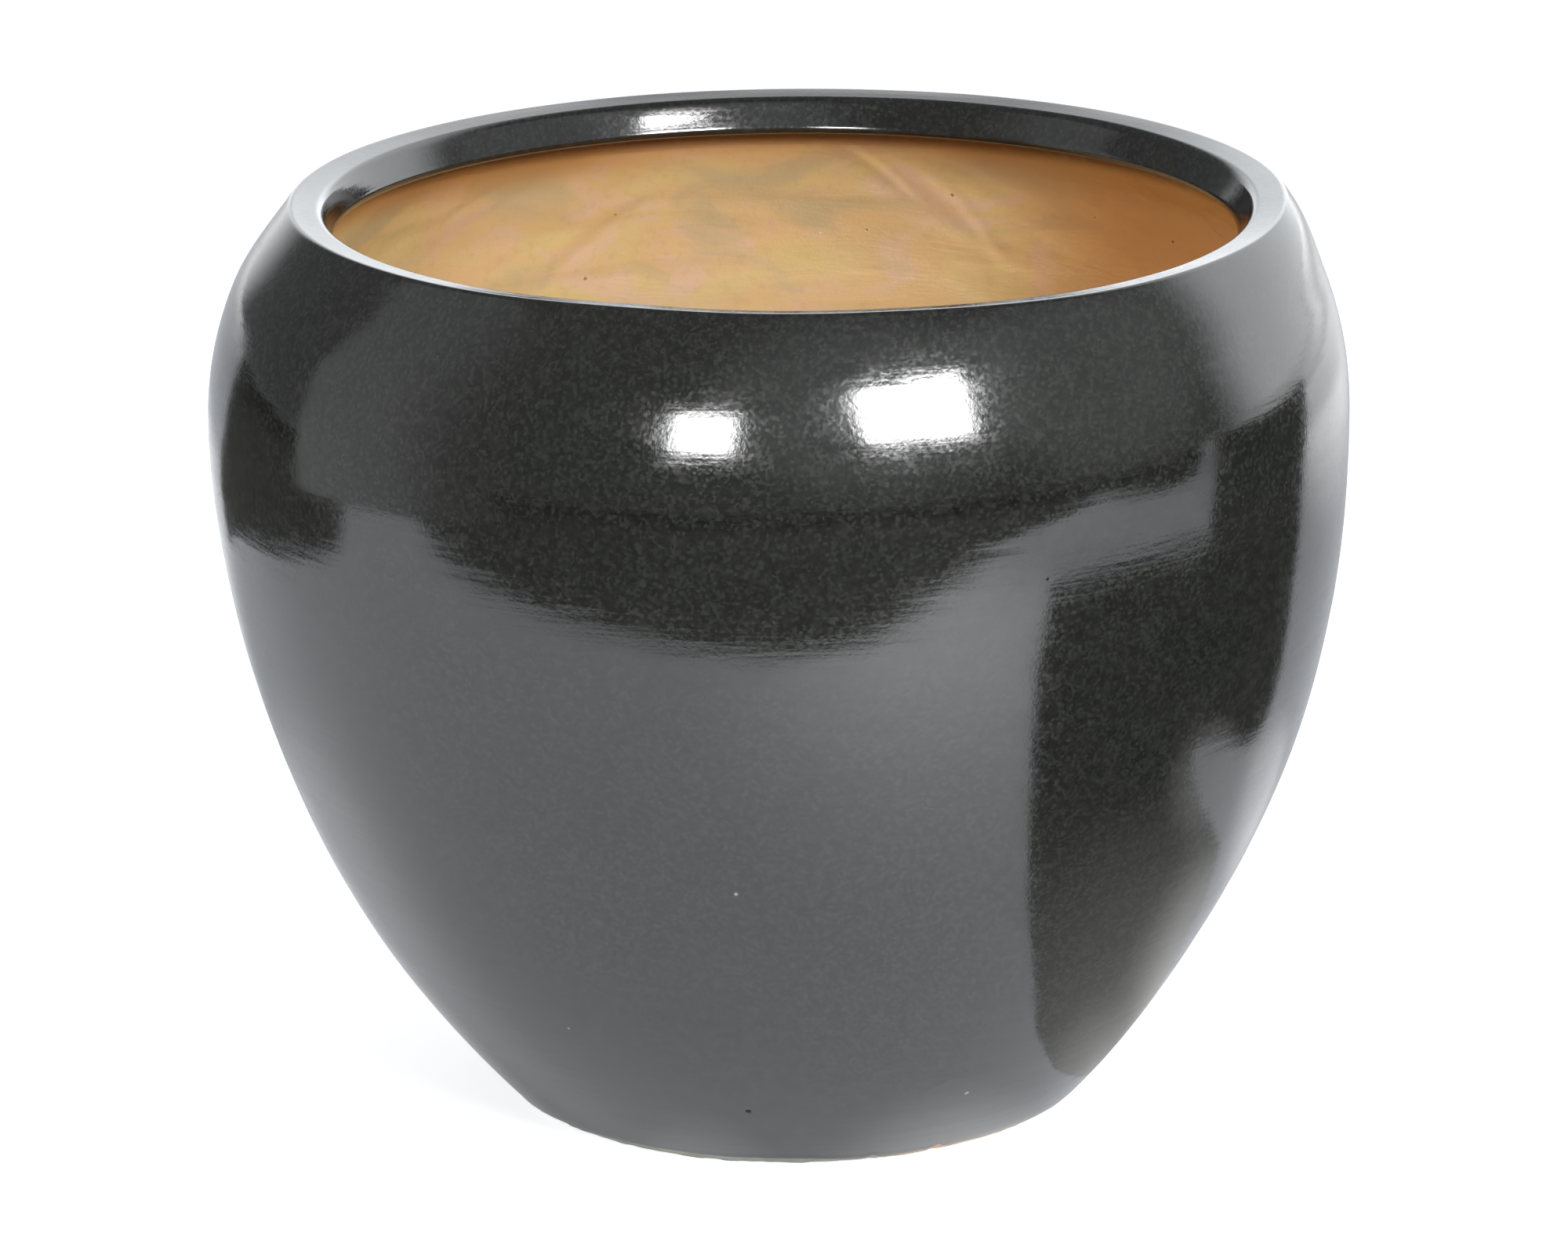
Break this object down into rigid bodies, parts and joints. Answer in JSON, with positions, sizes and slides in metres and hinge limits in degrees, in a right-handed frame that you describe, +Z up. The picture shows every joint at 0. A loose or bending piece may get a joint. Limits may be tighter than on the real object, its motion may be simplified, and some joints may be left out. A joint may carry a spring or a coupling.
{
  "type": "glazed clay planter pot",
  "caption": "Round-bellied clay pot with a glossy black glaze outside, a flat ledge round a wide mouth, a bare ochre inside and a drain hole.",
  "frame": {"origin": "centre of the foot ring, on the ground", "axes": "+Z up along the pot's axis; the pot is round, so +X and +Y are any two level directions"},
  "size_m": [0.4, 0.4, 0.3219],
  "materials": {
    "bare_clay": "unglazed ochre earthenware",
    "slip": "fired joint of clay slip",
    "black_glaze": "glossy black glaze with a fine mottle"
  },
  "bodies": {
    "root": {"foot_ring": "bare_clay", "foot_slip": "slip", "base_slab": "bare_clay", "base_slip": "slip", "lower_wall": "bare_clay", "belly_slip": "slip", "upper_wall": "bare_clay", "rim_slip": "slip", "rim_ring": "bare_clay", "black_glaze": "black_glaze"}
  },
  "joints": []
}
